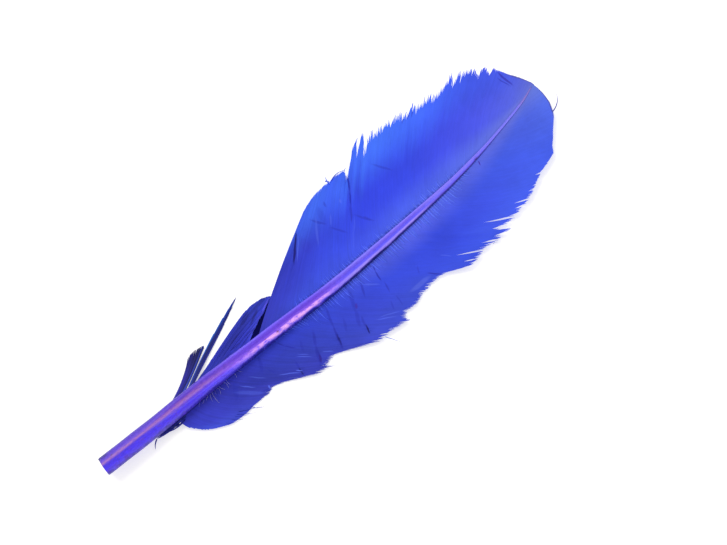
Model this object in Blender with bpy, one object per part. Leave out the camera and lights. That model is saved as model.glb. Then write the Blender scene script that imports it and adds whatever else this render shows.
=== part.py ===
"""A dyed turkey wing feather, lying with its under side up, at real size.

A feather grows as one piece, so it is one solid: the quill, open where it was cut, the grooved shaft
that it runs on into, and the two vanes, whose barbs hold together in locks with splits between them.
+X runs along the feather from the quill to the tip, +Y to the left vane, +Z up. The origin is on the
surface that the feather lies on, in the middle of the flat of the shaft's back.
"""
from math import atan, cos, radians, sin

import bmesh
import bpy
import numpy as np

MM = 0.001

# Every table below is in millimetres and degrees. A station is a distance from the quill's cut end
# along the straight line to the shaft's tip.
REST_STATION = 135.0

# The shaft: station, how far it bows to the left, height of its back over the surface, width, depth.
SHAFT = (
    (0, 1.2, 4.2, 9.4, 8.4), (30, -0.9, 2.4, 9.2, 8.1), (60, -2.3, 1.0, 8.0, 7.3), (90, -3.8, 0.2, 7.2, 6.6),
    (113, -5.3, 0, 6.4, 5.8), (135, -6.9, 0, 6.0, 5.2), (157, -7.9, 0, 5.3, 4.5), (185, -8.2, 0.3, 4.2, 3.6),
    (220, -7.2, 1.4, 3.1, 2.6), (255, -4.2, 3.6, 2.3, 1.8), (280, -0.8, 5.8, 1.4, 1.2), (290, 0.9, 6.8, 0.8, 0.9),
)
RING_SPACING = 6.0

# The shaft's section, as shares of its half width and its depth, from the flat of the back round to
# the two ridges with the groove between them. The quill's section is nearly round, at these angles.
GROOVED_SECTION = (
    (-0.45, 0), (0.45, 0), (0.82, 0.17), (1, 0.45), (0.95, 0.74), (0.70, 0.94), (0.38, 1), (0, 0.84),
    (-0.38, 1), (-0.70, 0.94), (-0.95, 0.74), (-1, 0.45), (-0.82, 0.17),
)
ROUND_ANGLES = (-114, -66, -38, -8, 24, 48, 70, 90, 110, 132, 156, 188, 218)
GROOVE_STARTS = 18.0
GROOVE_FULL = 62.0

# The hollow in the cut end of the quill.
HOLLOW_DEPTH = 9.0
HOLLOW_SHARE = 0.80
HOLLOW_FLOOR_SHARE = 0.62

# How a barb grows: station on the shaft, natural length, angle to the shaft at its root and at its tip.
LEFT_BARBS = (
    (39, 28, 18, 38), (45.5, 28, 23, 30), (48, 53, 29.5, 21.5), (52, 54, 29, 20), (54, 50, 28, 8),
    (60, 50, 30, 4), (70, 43, 26, 5), (80, 40, 22, 9), (88, 40, 22, 12), (92, 73, 30.5, 33),
    (108, 75, 40, 34.5), (122, 69, 46, 37), (140, 62, 53, 39), (150, 66, 54, 39), (180, 63, 56, 39),
    (200, 60, 54, 37), (220, 61, 48, 31), (240, 50, 42, 24), (255, 38, 35, 17), (264, 29, 31, 13),
    (276, 17, 24, 8), (290, 4, 0, 0),
)
RIGHT_BARBS = (
    (38, 11, 84, 58), (46, 22, 80, 44), (52, 25, 72, 35), (60, 28, 60, 32), (68, 32, 54, 31),
    (76, 41, 52, 31), (90, 43, 52, 33), (100, 50, 52, 34), (115, 52, 52, 35), (130, 46, 51, 36),
    (145, 43, 51, 36), (160, 52, 50, 33), (180, 57, 53, 32), (200, 52, 58, 31), (215, 49, 52, 28),
    (228, 47.5, 48, 26), (242, 41, 44, 24), (255, 34, 39, 20), (265, 27, 34, 15), (278, 16, 26, 8),
    (290, 4, 0, 0),
)
# A barb bends most near its root: the share of its turn still to come falls with this power.
BARB_BEND = 1.4

# The locks at the base of the left vane, which stand apart with gaps between them, and then the edge of
# each vane, walked from the base to the tip: the barb's station, and its length there. The short barbs
# between longer ones are the splits between locks.
LEFT_LOCKS = (
    ((38.8, 26), (42, 31), (44.6, 28.5)),
    ((47.8, 36), (50.2, 54.5), (52.2, 30)),
    ((54.2, 39), (56, 46), (59.5, 51), (64, 49.5), (70, 40), (78, 23), (87, 8)),
)
LEFT_EDGE = (
    (92.3, 67), (94, 71), (98, 75), (104, 74.5), (112, 72.5), (122, 68.5), (130, 66), (138, 61.5),
    (143.5, 57.5), (145, 54), (147, 72), (149, 74.5), (152.5, 60.5), (154.2, 73), (159.5, 58),
    (165, 68.3), (168.3, 62.5), (171, 65), (173, 62.5), (176, 64.5), (178.5, 61.5), (182, 63),
    (185, 60.5), (189, 62), (192, 59), (196.3, 62.5), (199, 55.5), (202, 58.5), (204, 56.5), (207, 60.5),
    (208.6, 56.5), (210, 59.5), (211.5, 55.5), (215, 59), (218.6, 63.5), (221.2, 57), (223.5, 61),
    (226.5, 56), (231, 58), (236.7, 46.2), (240, 52), (244.3, 44), (247, 47), (255, 38), (264, 28.5),
    (273, 18.5), (281, 10.5), (286, 6.2), (289, 3.2),
)
RIGHT_EDGE = (
    (38.5, 5), (40, 13), (43, 18), (47, 22.5), (52, 25), (58, 27.5), (64, 28), (68, 31), (71, 36),
    (74, 42.5), (76, 41), (78.2, 48), (80.5, 40), (86, 40.5), (92, 42.5), (94.5, 48), (96.5, 49),
    (98, 57), (100, 49.5), (104, 51.5), (108, 50.5), (113, 52), (116, 51.5), (119.2, 55), (121, 49),
    (126, 45.5), (132, 46.7), (138, 44.5), (146, 43), (150, 45), (154, 49), (157.3, 55.5), (163.5, 41.5),
    (165.8, 53), (169, 51), (172.7, 58), (174.5, 54), (176.2, 59.3), (178.1, 54.5), (183, 57.5),
    (185.4, 48), (187.5, 54), (190.4, 37), (194, 51.5), (196.5, 50.5), (200, 52), (206, 50.5), (212, 50),
    (219, 48), (223, 49), (229, 47.5), (234, 46), (242, 41.5), (250, 37), (258, 32.5), (265, 27),
    (272, 21), (279, 13.8), (285, 7.2), (289, 3.2),
)

# The vanes' back over the surface, by distance from the shaft's middle, where the shaft lies flat:
# they leave the shaft's flanks, dip to the surface, and curl up towards their edges.
VANE_RISE = ((0, 1.9), (5, 1.2), (10, 0.4), (16, 0), (22, 0.3), (30, 1.3), (38, 2.7), (46, 4.4), (60, 7.0))
FLANK_REACH = 12.0
FULL_DEPTH = 5.8
SAG_SHARE = 0.35
SAG_REACH = 30.0

# Two slow waves run along the vanes beyond where they touch the surface.
WAVE_HEIGHT = 0.45
WAVE_LENGTH = 52.0
WAVE_FROM = 18.0
WAVE_FULL = 40.0

# The vanes' thickness at the shaft and at their edges. Each barb is cut into this many steps.
VANE_ROOT_THICKNESS = 0.55
VANE_EDGE_THICKNESS = 0.32
VANE_STEPS = 9
ROOT_INSIDE_SHARE = 0.4
ROOT_SHARE = 0.8

QUILL_COLOUR = (0.120, 0.045, 0.700)
VANE_COLOUR = (0.035, 0.065, 0.680)


def smooth(table, station, column):
    """A smooth curve through a table's points, read at one station."""
    stations = [row[0] for row in table]
    values = [row[column] for row in table]
    last = len(table) - 1
    i = int(np.clip(np.searchsorted(stations, station) - 1, 0, last - 1))

    def slope(k):
        low, high = max(k - 1, 0), min(k + 1, last)
        return (values[high] - values[low]) / (stations[high] - stations[low])

    gap = stations[i + 1] - stations[i]
    t = (station - stations[i]) / gap
    ends = values[i] * (1 + 2 * t) * (1 - t) ** 2 + values[i + 1] * t * t * (3 - 2 * t)
    return ends + gap * t * (1 - t) * (slope(i) * (1 - t) - slope(i + 1) * t)


def straight(table, station, column):
    """The straight line between a table's points, read at one station."""
    return float(np.interp(station, [row[0] for row in table], [row[column] for row in table]))


def bow(station):
    return smooth(SHAFT, station, 1)


def back_height(station):
    return max(0.0, smooth(SHAFT, min(station, SHAFT[-1][0]), 2))


def heading(station):
    """The shaft's direction in plan, in radians to the left of +X."""
    return atan(bow(station + 0.5) - bow(station - 0.5))


def to_frame(x, y, z):
    """Millimetres from the quill's end to metres from the rest point."""
    return ((x - REST_STATION) * MM, (y - bow(REST_STATION)) * MM, z * MM)


def shaft_ring(station, share=1.0):
    """One section of the shaft, square to its direction, or a smaller one about the same middle."""
    half, depth = smooth(SHAFT, station, 3) / 2, smooth(SHAFT, station, 4)
    grooved = float(np.clip((station - GROOVE_STARTS) / (GROOVE_FULL - GROOVE_STARTS), 0, 1))
    turn = heading(station)
    ring = []
    for (side, up), angle in zip(GROOVED_SECTION, ROUND_ANGLES):
        round_side, round_up = cos(radians(angle)), 0.5 + 0.5 * sin(radians(angle))
        across = half * share * (side * grooved + round_side * (1 - grooved))
        height = 0.5 + share * (up * grooved + round_up * (1 - grooved) - 0.5)
        x, y = station + across * sin(turn), bow(station) - across * cos(turn)
        ring.append(to_frame(x, y, back_height(station) + depth * height))
    return ring


def loft(bm, rings):
    """Joins rings of points into one closed skin."""
    skin = [[bm.verts.new(point) for point in ring] for ring in rings]
    count = len(skin[0])
    for near, far in zip(skin, skin[1:]):
        for i in range(count):
            j = (i + 1) % count
            bm.faces.new((near[i], near[j], far[j], far[i]))
    bm.faces.new(skin[0])
    bm.faces.new(reversed(skin[-1]))


def barb(side, station, length):
    """The points of one barb in plan, from inside the shaft to its tip, with each one's share of the way."""
    table = LEFT_BARBS if side > 0 else RIGHT_BARBS
    natural = straight(table, station, 1)
    root_angle = straight(table, station, 2)
    tip_angle = straight(table, station, 3)
    half, turn = smooth(SHAFT, station, 3) / 2, heading(station)
    middle = np.array((station, bow(station)))
    outward = np.array((-sin(turn), cos(turn))) * side * half
    points = [(middle + outward * ROOT_INSIDE_SHARE, 0.0)]
    place, walked, short_step = middle + outward * ROOT_SHARE, 0.0, 1.0
    for step in range(VANE_STEPS + 1):
        goal = length * step / VANE_STEPS
        while walked < goal - 1e-6:
            stride = min(short_step, goal - walked)
            left_to_turn = 1 - min(1.0, (walked + stride / 2) / natural)
            angle = tip_angle + (root_angle - tip_angle) * left_to_turn ** BARB_BEND
            direction = turn + side * radians(angle)
            place = place + stride * np.array((cos(direction), sin(direction)))
            walked += stride
        points.append((place, step / VANE_STEPS))
    return points


def vane_height(x, y):
    """The height of the vane's back over a point of the surface."""
    station = min(x, SHAFT[-1][0])
    away = abs(y - bow(station))
    rise = straight(VANE_RISE, away, 1)
    if away < FLANK_REACH:
        thin = min(1.0, smooth(SHAFT, station, 4) / FULL_DEPTH)
        rise *= thin + (1 - thin) * away / FLANK_REACH
    ease = float(np.clip((away - WAVE_FROM) / (WAVE_FULL - WAVE_FROM), 0, 1))
    wave = WAVE_HEIGHT * ease * (1 + sin(6.2832 * x / WAVE_LENGTH + (1 if y > 0 else 3)))
    sag = 1 - SAG_SHARE * min(1.0, away / SAG_REACH)
    return back_height(station) * sag + rise + wave


def barb_plate(bm, side, walk):
    """A thin closed plate of barbs that lie side by side, walked from the base towards the tip."""
    backs, faces = [], []
    for station, length in walk:
        back, face = [], []
        for (x, y), share in barb(side, station, length):
            z = vane_height(x, y)
            thick = VANE_ROOT_THICKNESS + (VANE_EDGE_THICKNESS - VANE_ROOT_THICKNESS) * share
            back.append(bm.verts.new(to_frame(x, y, z)))
            face.append(bm.verts.new(to_frame(x, y, z + thick)))
        backs.append(back)
        faces.append(face)
    last = len(backs[0]) - 1
    for i in range(len(walk) - 1):
        for j in range(last):
            bm.faces.new((faces[i][j], faces[i + 1][j], faces[i + 1][j + 1], faces[i][j + 1]))
            bm.faces.new((backs[i][j], backs[i][j + 1], backs[i + 1][j + 1], backs[i + 1][j]))
        bm.faces.new((faces[i][last], faces[i + 1][last], backs[i + 1][last], backs[i][last]))
        bm.faces.new((backs[i][0], backs[i + 1][0], faces[i + 1][0], faces[i][0]))
    for i, flip in ((0, False), (len(walk) - 1, True)):
        for j in range(last):
            wall = (faces[i][j], faces[i][j + 1], backs[i][j + 1], backs[i][j])
            bm.faces.new(reversed(wall) if flip else wall)


def vane_plates(bm):
    """The plates that join onto the shaft: the two vanes, and the locks at the base of the left one."""
    for walk in (LEFT_EDGE, *LEFT_LOCKS):
        barb_plate(bm, 1, walk)
    barb_plate(bm, -1, RIGHT_EDGE)


def make_material(name, colour, roughness):
    material = bpy.data.materials.new(name)
    material.use_nodes = True
    shader = material.node_tree.nodes["Principled BSDF"]
    shader.inputs["Base Color"].default_value = (*colour, 1.0)
    shader.inputs["Roughness"].default_value = roughness
    shader.inputs["Metallic"].default_value = 0.0
    material.diffuse_color = (*colour, 1.0)
    return material


def make_object(name, build, material):
    bm = bmesh.new()
    build(bm)
    bmesh.ops.recalc_face_normals(bm, faces=bm.faces)
    mesh = bpy.data.meshes.new(name)
    bm.to_mesh(mesh)
    bm.free()
    mesh.materials.append(material)
    mesh.shade_smooth()
    mesh.set_sharp_from_angle(angle=radians(35))
    made = bpy.data.objects.new(name, mesh)
    bpy.context.collection.objects.link(made)
    return made


def shaft_skin(bm):
    """The quill with its hollow, and the shaft on to its tip."""
    tip = SHAFT[-1][0]
    stations = np.linspace(0, tip, round(tip / RING_SPACING) + 1)
    rings = [shaft_ring(HOLLOW_DEPTH, HOLLOW_FLOOR_SHARE), shaft_ring(0, HOLLOW_SHARE)]
    rings += [shaft_ring(float(station)) for station in stations]
    loft(bm, rings)


def build_feather():
    quill_keratin = make_material("dyed quill keratin", QUILL_COLOUR, 0.35)
    vane_keratin = make_material("dyed vane keratin", VANE_COLOUR, 0.6)
    feather = make_object("feather", shaft_skin, quill_keratin)
    vanes = make_object("vanes_to_join", vane_plates, vane_keratin)
    vanes.hide_render = True
    vanes.display_type = "WIRE"
    feather.data.materials.append(vane_keratin)
    join = feather.modifiers.new("grow the vanes from the shaft", "BOOLEAN")
    join.operation = "UNION"
    join.solver = "EXACT"
    join.material_mode = "TRANSFER"
    join.object = vanes


for old in list(bpy.data.objects):
    bpy.data.objects.remove(old, do_unlink=True)
build_feather()
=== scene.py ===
from math import cos, radians, sin, tau

import bpy
import numpy as np
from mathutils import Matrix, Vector


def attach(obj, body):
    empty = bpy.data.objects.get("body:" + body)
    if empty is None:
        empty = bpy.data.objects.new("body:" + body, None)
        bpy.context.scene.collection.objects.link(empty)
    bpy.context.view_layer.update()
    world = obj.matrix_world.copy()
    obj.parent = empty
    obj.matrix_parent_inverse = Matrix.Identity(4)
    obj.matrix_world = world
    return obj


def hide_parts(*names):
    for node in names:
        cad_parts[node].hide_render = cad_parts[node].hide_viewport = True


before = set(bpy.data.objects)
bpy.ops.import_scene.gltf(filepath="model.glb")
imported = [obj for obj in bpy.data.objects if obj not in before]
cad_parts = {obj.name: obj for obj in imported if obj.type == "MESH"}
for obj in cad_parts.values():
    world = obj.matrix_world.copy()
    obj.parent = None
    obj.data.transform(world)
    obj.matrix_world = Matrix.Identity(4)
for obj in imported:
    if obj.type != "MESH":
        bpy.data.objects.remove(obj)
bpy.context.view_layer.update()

# The camera looks down on the feather from the quill's side, at the photo's steep angle.
CAMERA_PLACE = (-0.1368, -0.1673, 0.5610)
CAMERA_AIM = (0.0209, -0.0044, 0.0)
CAMERA_LENS, SENSOR_WIDTH = 60, 36

camera_data = bpy.data.cameras.new("camera")
camera_data.lens = CAMERA_LENS
camera_data.sensor_width = SENSOR_WIDTH
camera = bpy.data.objects.new("camera", camera_data)
camera.location = CAMERA_PLACE
camera.rotation_euler = (Vector(CAMERA_AIM) - camera.location).to_track_quat("-Z", "Y").to_euler()
bpy.context.collection.objects.link(camera)
bpy.context.scene.camera = camera
bpy.context.scene.view_settings.view_transform = "Standard"


# The floor is matt white studio paper, lit evenly by a white room and one large soft light that
# stands behind the feather's left side, so the shadows are short, pale and soft.
def linear(hexadecimal):
    """An sRGB hex colour as the linear values that the shaders take."""
    values = []
    for place in (1, 3, 5):
        share = int(hexadecimal[place:place + 2], 16) / 255
        values.append(share / 12.92 if share <= 0.04045 else ((share + 0.055) / 1.055) ** 2.4)
    return (*values, 1.0)


def add_node(tree, kind, inputs=(), settings=None, out=0, stops=()):
    """Adds one node, with its settings and a ramp's stops. Each input gets a value, or the socket
    that feeds it. What comes back is the wanted output socket."""
    node = tree.nodes.new(kind)
    for name, value in (settings or {}).items():
        setattr(node, name, value)
    for name, value in inputs.items() if isinstance(inputs, dict) else enumerate(inputs):
        if isinstance(value, bpy.types.NodeSocket):
            tree.links.new(value, node.inputs[name])
        else:
            node.inputs[name].default_value = value
    while stops and len(node.color_ramp.elements) < len(stops):
        node.color_ramp.elements.new(0.5)
    for k, (place, colour) in enumerate(stops):
        node.color_ramp.elements[k].position = place
        node.color_ramp.elements[k].color = linear(colour)
    return node.outputs[out]


FLOOR_HALF = 4.0
KEY_PLACE = (-0.25, 1.30, 2.10)
KEY_SIZE = 1.2
KEY_POWER = 28.0
ROOM_LIGHT = 0.80
PAPER_GLOW = 0.51
COLOURS = {"data_type": "RGBA"}

paper = bpy.data.materials.new("matt white studio paper")
paper.use_nodes = True
paper_shader = paper.node_tree.nodes["Principled BSDF"]
paper_shader.inputs["Roughness"].default_value = 0.9
paper_shader.inputs["Specular IOR Level"].default_value = 0.1
# The paper glows a little by itself, so that it stays white in the feather's thin gaps, and its
# shadows stay pale and take little of the blue.
paper_shader.inputs["Emission Color"].default_value = (1, 1, 1, 1)
paper_shader.inputs["Emission Strength"].default_value = PAPER_GLOW
paper_grain = add_node(paper.node_tree, "ShaderNodeTexNoise", {"Scale": 40.0, "Detail": 2.0})
paper_tint = add_node(
    paper.node_tree, "ShaderNodeMix",
    {0: paper_grain, 6: linear("#D2D0CB"), 7: linear("#D6D3CF")}, COLOURS, out=2,
)
paper.node_tree.links.new(paper_tint, paper_shader.inputs["Base Color"])

floor_mesh = bpy.data.meshes.new("floor")
floor_mesh.from_pydata(
    [(-FLOOR_HALF, -FLOOR_HALF, 0), (FLOOR_HALF, -FLOOR_HALF, 0),
     (FLOOR_HALF, FLOOR_HALF, 0), (-FLOOR_HALF, FLOOR_HALF, 0)],
    [], [(0, 1, 2, 3)],
)
floor_mesh.materials.append(paper)
floor = bpy.data.objects.new("floor", floor_mesh)
bpy.context.collection.objects.link(floor)

room = bpy.data.worlds.new("white room")
bpy.context.scene.world = room
room.use_nodes = True
room.node_tree.nodes["Background"].inputs["Color"].default_value = (1, 1, 1, 1)
room.node_tree.nodes["Background"].inputs["Strength"].default_value = ROOM_LIGHT

key_data = bpy.data.lights.new("soft_key", "AREA")
key_data.shape = "SQUARE"
key_data.size = KEY_SIZE
key_data.energy = KEY_POWER
key = bpy.data.objects.new("soft_key", key_data)
key.location = KEY_PLACE
key.rotation_euler = (-Vector(KEY_PLACE)).to_track_quat("-Z", "Y").to_euler()
bpy.context.collection.objects.link(key)


# The shaft: one tube of keratin, cut straight across at the quill's end, where it is open. It starts
# round, and towards the vanes it gets a groove between two ridges on this, its under side. The dye
# takes unevenly on it, violet with mauve streaks, and its surface is smooth and a little glossy.
MM = 0.001
REST_STATION = 135.0
# Station, how far it bows to the left, height of its back over the surface, width, depth.
SHAFT = np.array((
    (0, 0.1, 4.2, 9.2, 8.4), (30, -1.25, 2.4, 9.3, 8.1), (60, -2.15, 1, 8.3, 7.3),
    (90, -3.8, 0.2, 7.4, 6.6), (113, -5.2, 0, 6.9, 5.8), (135, -6.9, 0, 6.6, 5.2), (157, -7.5, 0, 6, 4.5),
    (185, -7.7, 0.3, 5, 3.6), (220, -7.6, 1.4, 3.3, 2.6), (240, -6.6, 2.6, 2.4, 1.9),
    (255, -5.2, 3.6, 1.6, 1.5), (280, -1.9, 5.8, 1, 1), (290, 0.7, 6.8, 0.5, 0.7),
))
SHAFT_LENGTH = 290.0
RING_STEP = 1.25
GROOVE_STARTS, GROOVE_FULL = 18.0, 62.0
HOLLOW_DEPTH = 9.0
# The grooved section, from the flat of the back round to the two ridges, as shares of half width and
# depth, and the angles of the same points on the quill's nearly round section.
GROOVED = np.array((
    (-0.45, 0), (0, 0), (0.45, 0), (0.68, 0.06), (0.84, 0.18), (0.96, 0.32), (1, 0.45), (1, 0.62),
    (0.97, 0.76), (0.9, 0.88), (0.8, 0.95), (0.68, 0.99), (0.56, 1), (0.42, 0.96), (0.22, 0.88), (0, 0.85),
    (-0.22, 0.88), (-0.42, 0.96), (-0.56, 1), (-0.68, 0.99), (-0.8, 0.95), (-0.9, 0.88), (-0.97, 0.76),
    (-1, 0.62), (-1, 0.45), (-0.96, 0.32), (-0.84, 0.18), (-0.68, 0.06),
))
ROUND_ANGLES = np.radians((
    -114, -90, -66, -52, -38, -23, -8, 8, 24, 36, 48, 59, 70, 77, 83, 90,
    97, 103, 110, 121, 132, 144, 156, 172, 188, 203, 218, 232,
))


def smooth(station, column):
    """A smooth curve through the shaft's table, read at many stations."""
    station = np.asarray(station, float)
    stations, values = SHAFT[:, 0], SHAFT[:, column]
    slopes = np.gradient(values)
    slopes[1:-1] = (values[2:] - values[:-2]) / (stations[2:] - stations[:-2])
    slopes[0] = (values[1] - values[0]) / (stations[1] - stations[0])
    slopes[-1] = (values[-1] - values[-2]) / (stations[-1] - stations[-2])
    i = np.clip(np.searchsorted(stations, station) - 1, 0, len(stations) - 2)
    gap = stations[i + 1] - stations[i]
    t = (station - stations[i]) / gap
    ends = values[i] * (1 + 2 * t) * (1 - t) ** 2 + values[i + 1] * t * t * (3 - 2 * t)
    return ends + gap * t * (1 - t) * (slopes[i] * (1 - t) - slopes[i + 1] * t)


def heading(station):
    """The shaft's direction in plan, in radians to the left of +X."""
    return np.arctan(smooth(station + 0.5, 1) - smooth(station - 0.5, 1))


def back_height(station):
    """How high the shaft's back stands over the surface."""
    return np.maximum(0.0, smooth(np.minimum(station, SHAFT_LENGTH), 2))


def to_frame(places):
    """Millimetres from the quill's end to metres from the rest point."""
    return (places - np.array((REST_STATION, smooth(REST_STATION, 1), 0.0))) * MM


def ease(values, low, high):
    """0 below one value, 1 above the other, and an even S between them."""
    t = np.clip((values - low) / (high - low), 0, 1)
    return t * t * (3 - 2 * t)


def shaft_ring(station, share):
    """One section of the shaft, square to its direction, or a smaller one about the same middle."""
    half, depth = smooth(station, 3) / 2, smooth(station, 4)
    grooved = ease(station, GROOVE_STARTS, GROOVE_FULL)
    across = GROOVED[:, 0] * grooved + np.cos(ROUND_ANGLES) * (1 - grooved)
    up = GROOVED[:, 1] * grooved + (0.5 + 0.5 * np.sin(ROUND_ANGLES)) * (1 - grooved)
    # Slight swellings, as any grown shaft has.
    swell = 1 + 0.012 * np.sin(station / 7.3) + 0.010 * np.sin(station / 3.1 + 1.0)
    across, height = across * half * share * swell, 0.5 + share * (up - 0.5)
    turn = heading(station)
    return np.stack([
        station + across * np.sin(turn), smooth(station, 1) - across * np.cos(turn),
        back_height(station) + depth * height,
    ], axis=-1)


stations = np.linspace(0, SHAFT_LENGTH, round(SHAFT_LENGTH / RING_STEP) + 1)
# Each ring's station, and its size as a share of the shaft's: the hollow from its floor out to the
# rim, the rounded rim, and then the shaft's own skin.
hollow = [(HOLLOW_DEPTH, 0.62), (HOLLOW_DEPTH * 0.66, 0.72), (HOLLOW_DEPTH * 0.33, 0.78), (0.25, 0.81)]
rim = [(0.0, 0.86), (0.0, 0.94), (0.35, 0.99)]
ring_list = hollow + rim + [(float(s), 1.0) for s in stations[1:]]
rings = np.array([shaft_ring(s, share) for s, share in ring_list])
# The cut is not quite straight: a shallow nick at its upper left corner, and a slight slant.
cut_slant = -0.25 - 0.25 * GROOVED[:, 0]
nick = 1.3 * np.exp(-((np.degrees(ROUND_ANGLES) - 140) / 16) ** 2)
rings[len(hollow) - 1:len(hollow) + len(rim), :, 0] += cut_slant + nick
count, around = rings.shape[0], rings.shape[1]
faces = []
for k in range(count - 1):
    for j in range(around):
        n = (j + 1) % around
        faces.append((k * around + j, k * around + n, (k + 1) * around + n, (k + 1) * around + j))
faces.append(tuple(range(around)))
faces.append(tuple((count - 1) * around + j for j in reversed(range(around))))
shaft_mesh = bpy.data.meshes.new("shaft")
shaft_mesh.from_pydata(to_frame(rings.reshape(-1, 3)).tolist(), [], faces)
# The skin is one strip of its UV map, and the two end faces are small discs beside it.
strip = shaft_mesh.uv_layers.new(name="OFBake")
disc = 0.008
corners = []
for k in range(count - 1):
    for j in range(around):
        for ring, step in ((k, j), (k, j + 1), (k + 1, j + 1), (k + 1, j)):
            corners.append((0.02 + 0.9 * step / around, 0.01 + 0.94 * ring / (count - 1)))
for middle in (0.95, 0.97):
    for j in range(around):
        corners.append((middle + disc * cos(j * tau / around), 0.98 + disc * sin(j * tau / around)))
strip.data.foreach_set("uv", np.array(corners, np.float32).ravel())
# Where each place is, across the shaft from -1 to 1 and along it from 0 to 1, for its dye. The back
# has the shades of the flanks.
across_layer = shaft_mesh.attributes.new("across", "FLOAT", "POINT")
round_shares = np.where(GROOVED[:, 1] > 0.3, GROOVED[:, 0], np.sign(GROOVED[:, 0]))
across_layer.data.foreach_set("value", np.tile(round_shares, count).astype(np.float32))
along_layer = shaft_mesh.attributes.new("station", "FLOAT", "POINT")
ring_stations = np.array(ring_list)[:, 0] / SHAFT_LENGTH
along_layer.data.foreach_set("value", np.repeat(ring_stations, around).astype(np.float32))
# The two end faces stay flat, so that the tube's shading runs on evenly up to its ends.
shaft_mesh.polygons.foreach_set("use_smooth", [True] * (len(shaft_mesh.polygons) - 2) + [False] * 2)


# Dyed quill keratin: dense, faintly translucent horn, dyed blue and violet, semi-gloss, with fine
# streaks along it where the dye took better. Its colour also holds painted shade along both flanks
# and a painted highlight on the right ridge.
SMOOTH = {"interpolation_type": "SMOOTHSTEP"}
PLUS, TIMES, TIMES_PLUS = {"operation": "ADD"}, {"operation": "MULTIPLY"}, {"operation": "MULTIPLY_ADD"}
horn = bpy.data.materials.new("dyed quill keratin")
horn.use_nodes = True
tree = horn.node_tree
shader = tree.nodes["Principled BSDF"]
across = add_node(tree, "ShaderNodeAttribute", settings={"attribute_name": "across"}, out="Fac")
along = add_node(tree, "ShaderNodeAttribute", settings={"attribute_name": "station"}, out="Fac")
side_share = add_node(tree, "ShaderNodeMapRange", (across, -1.0, 1.0))
streak_place = add_node(tree, "ShaderNodeCombineXYZ", (side_share, along))


def streaks(across_count, along_count, detail):
    """Noise drawn out along the shaft: so many streaks across it, and so many along it."""
    scaled = add_node(
        tree, "ShaderNodeMapping", {"Vector": streak_place, "Scale": (across_count, along_count, 1.0)}
    )
    return add_node(
        tree, "ShaderNodeTexNoise", {"Vector": scaled, "Scale": 1.0, "Detail": detail, "Roughness": 0.65}
    )


wander = add_node(tree, "ShaderNodeMath", (streaks(3.0, 22.0, 5.0), 0.26, -0.13), TIMES_PLUS)
wandered = add_node(tree, "ShaderNodeMath", (side_share, wander), PLUS)
# The quill's shades from its left flank to its right one; the dark ends are painted shade along both
# flanks.
dyed = add_node(tree, "ShaderNodeValToRGB", (wandered,), stops=(
    (0, "#2A2084"), (0.06, "#4832B0"), (0.2, "#5636C2"), (0.31, "#683CC4"), (0.4, "#8C56B4"),
    (0.51, "#9660B6"), (0.61, "#6C42C2"), (0.7, "#4028D4"), (0.84, "#462EEA"), (0.95, "#5642EC"),
    (1, "#3A2AA4"),
))
# Towards the tip each set of shades gives way to the next: between which shares of the shaft's
# length, and the shades from its left flank to its right one. Their dark ends are painted shade
# along the flanks, and the right flank's shades are lightened against the shade that falls there.
for starts, full, shades in (
    (0.16, 0.30, (
        (0, "#221C84"), (0.05, "#4A40C4"), (0.13, "#6A56EA"), (0.27, "#6842E0"), (0.42, "#6236D2"),
        (0.56, "#6E3CD4"), (0.68, "#7E4CDC"), (0.8, "#6648F8"), (0.93, "#5A4EFF"), (1, "#2A249C"),
    )),
    (0.43, 0.53, (
        (0, "#1C1A80"), (0.05, "#4E48CC"), (0.14, "#7E74F6"), (0.3, "#7460EC"), (0.44, "#5A4AE4"),
        (0.56, "#4A44E4"), (0.68, "#6256EC"), (0.8, "#8A78F2"), (0.9, "#9C86F4"), (0.96, "#5444B4"),
        (1, "#1C1676"),
    )),
    (0.66, 0.74, (
        (0, "#4038B0"), (0.12, "#7A6CF0"), (0.34, "#8478F6"), (0.52, "#6C64F2"), (0.7, "#6058EA"),
        (0.86, "#5E4EDC"), (1, "#3A309C"),
    )),
    (0.82, 0.92, ((0, "#7874EE"), (1, "#7874EE"))),
    (0.945, 0.98, ((0, "#8470C6"), (1, "#8470C6"))),
):
    next_shades = add_node(tree, "ShaderNodeValToRGB", (wandered,), stops=shades)
    change = add_node(tree, "ShaderNodeMapRange", (along, starts, full), SMOOTH)
    dyed = add_node(tree, "ShaderNodeMix", {0: change, 6: dyed, 7: next_shades}, COLOURS, out=2)
# Along the shaft's lower half the right ridge is pale and pink in blotches: partly scraped keratin,
# partly a painted highlight on the ridge.
scraped_and_highlight = add_node(tree, "ShaderNodeMapRange", (streaks(4.0, 60.0, 6.0), 0.36, 0.56), SMOOTH)
for value, low, high in (
    (wandered, 0.56, 0.68), (wandered, 1.0, 0.86), (along, 0.23, 0.35), (along, 0.51, 0.42),
):
    window = add_node(tree, "ShaderNodeMapRange", (value, low, high), SMOOTH)
    scraped_and_highlight = add_node(tree, "ShaderNodeMath", (scraped_and_highlight, window), TIMES)
dyed = add_node(tree, "ShaderNodeMix", {0: scraped_and_highlight, 6: dyed, 7: linear("#DEA2EC")}, COLOURS, out=2)
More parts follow.
